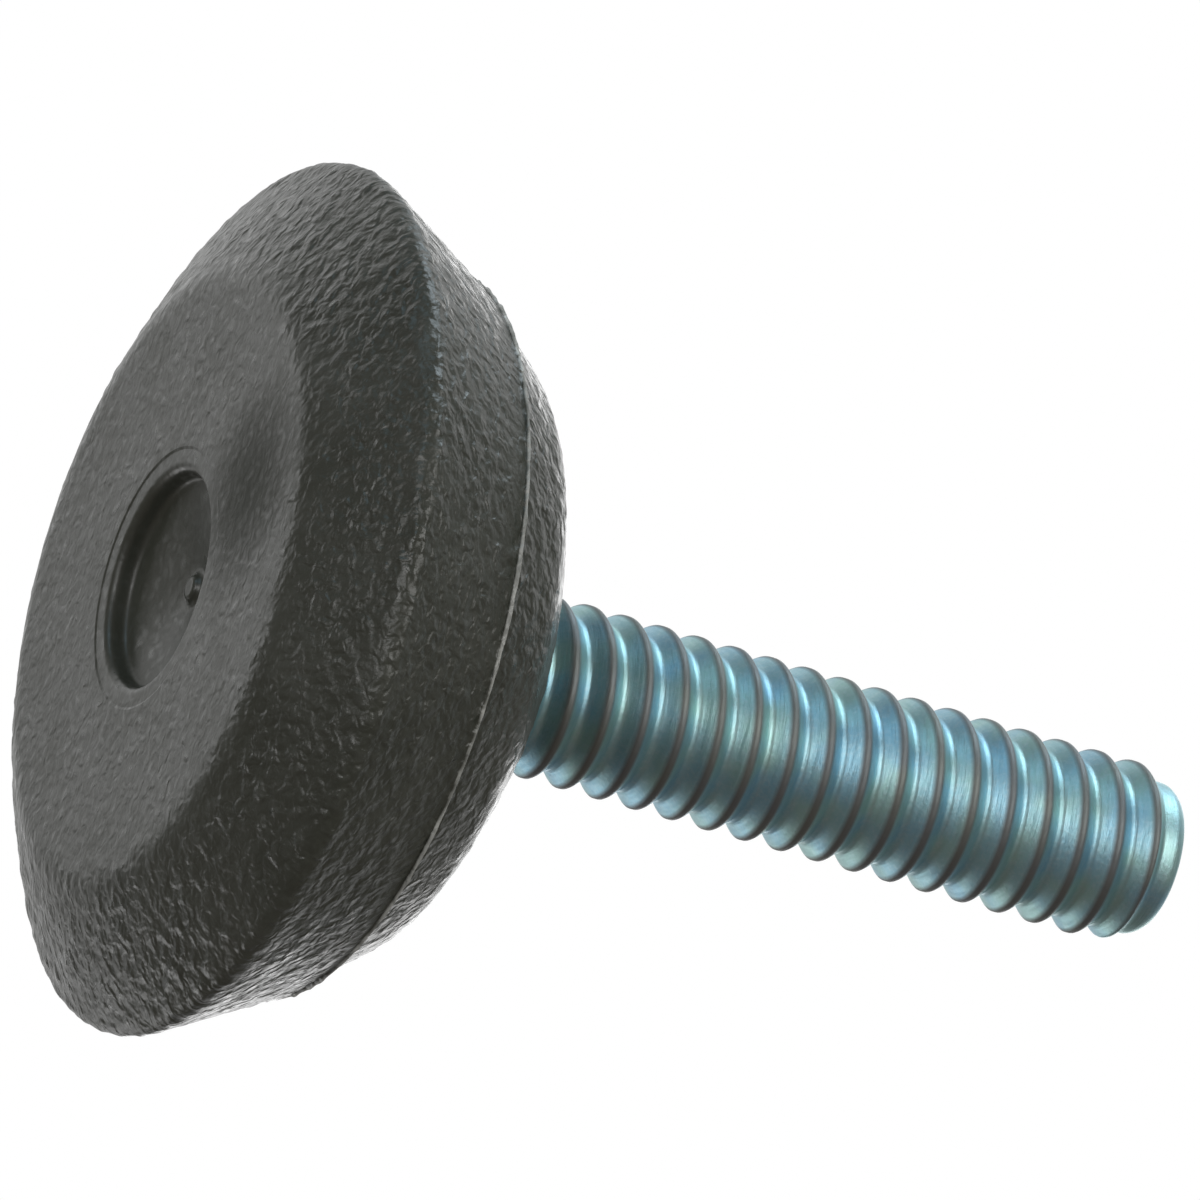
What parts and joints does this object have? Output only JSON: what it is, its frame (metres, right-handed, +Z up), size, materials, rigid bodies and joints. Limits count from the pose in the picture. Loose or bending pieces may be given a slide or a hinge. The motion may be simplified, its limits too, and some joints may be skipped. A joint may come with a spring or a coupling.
{
  "type": "leveling foot",
  "caption": "Rigid leveling foot: round moulded plastic base with a flat bottom, moulded onto a threaded steel stud.",
  "frame": {"origin": "centre of the flat bottom face, on the floor", "axes": "+Z up the stud's axis, away from the floor; X and Y lie in the floor, with +X through a corner of the moulded-in hex head"},
  "size_m": [0.023, 0.023, 0.0289],
  "materials": {
    "moulded_plastic": "pebbled dark grey plastic",
    "plated_steel": "blue-passivated zinc plate"
  },
  "bodies": {
    "root": {"foot_base": "moulded_plastic", "threaded_stud": "plated_steel"}
  },
  "joints": []
}
